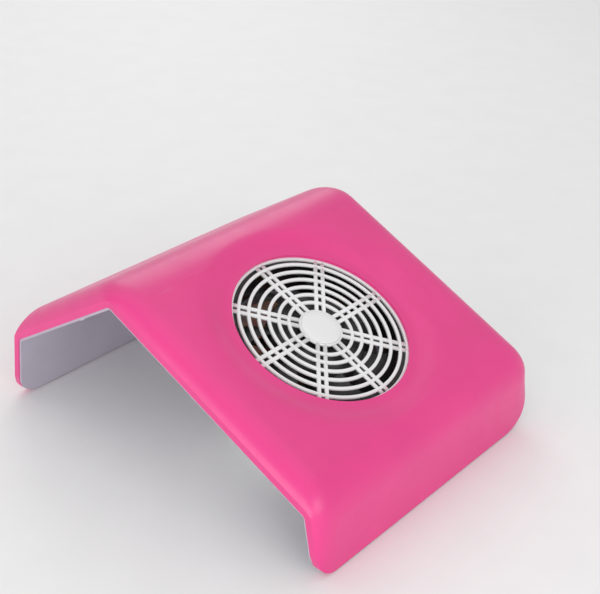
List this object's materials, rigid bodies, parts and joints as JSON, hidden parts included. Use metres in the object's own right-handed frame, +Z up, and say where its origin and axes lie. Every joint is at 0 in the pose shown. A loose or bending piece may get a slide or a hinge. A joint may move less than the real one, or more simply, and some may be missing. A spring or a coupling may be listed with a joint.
{
  "type": "nail dust collector",
  "caption": "Bent arch shell on two short walls with an axial fan under a round grille in its long slope, a cloth dust bag below, and a rocker switch and mains inlet at the back.",
  "frame": {"origin": "middle of the footprint, on the table under the rubber feet", "axes": "+X from the short roof side to the fan side, +Y from the front opening to the back one with the switch, +Z up"},
  "size_m": [0.29, 0.23, 0.1286],
  "materials": {
    "pink_shell": "satin moulded ABS",
    "grey_liner": "fine matte moulded ABS",
    "grille_white": "satin moulded ABS",
    "black_fan": "satin black nylon",
    "fan_rotor": "satin dark grey nylon",
    "foam": "open foam",
    "steel": "plated steel",
    "magnet": "dark sintered magnet",
    "copper": "enamelled copper wire",
    "brass": "plated brass",
    "bag_cloth": "white non-woven cloth",
    "elastic": "knitted elastic",
    "switch_black": "moulded nylon",
    "wire_brown": "PVC insulation",
    "wire_black": "PVC insulation",
    "wire_blue": "PVC insulation",
    "rubber": "moulded rubber"
  },
  "bodies": {
    "root": {"upper_shell": "pink_shell", "lower_liner": "grey_liner", "intake_grille": "grille_white", "grille_badge": "grille_white", "fan_gasket": "foam", "fan_frame": "black_fan", "stator_core": "steel", "stator_coils": "copper", "fan_bearings": "steel", "fan_box": "grey_liner", "outlet_collar": "grey_liner", "dust_bag": "bag_cloth", "bag_elastic": "elastic", "fan_screws": "steel", "box_screws": "steel", "liner_screws": "steel", "switch_housing": "switch_black", "switch_terminals": "brass", "power_inlet": "switch_black", "inlet_pins": "brass", "wire_live": "wire_brown", "wire_switched": "wire_black", "wire_neutral": "wire_blue", "rubber_feet": "rubber"},
    "rotor": {"fan_impeller": "fan_rotor", "rotor_ring": "magnet", "rotor_shaft": "steel", "shaft_clip": "steel"},
    "rocker": {"switch_rocker": "switch_black"}
  },
  "joints": [
    {"name": "fan_spin", "type": "hinge", "parent": "root", "child": "rotor", "pos_m": [0.0455, -0.0045, 0.08136], "axis": [0.4099, 0, 0.9121], "continuous": true},
    {"name": "rocker_tilt", "type": "hinge", "parent": "root", "child": "rocker", "pos_m": [0.05385, 0.1065, 0.06335], "axis": [0.4099, 0, 0.9121], "range_deg": [0, 20]}
  ]
}
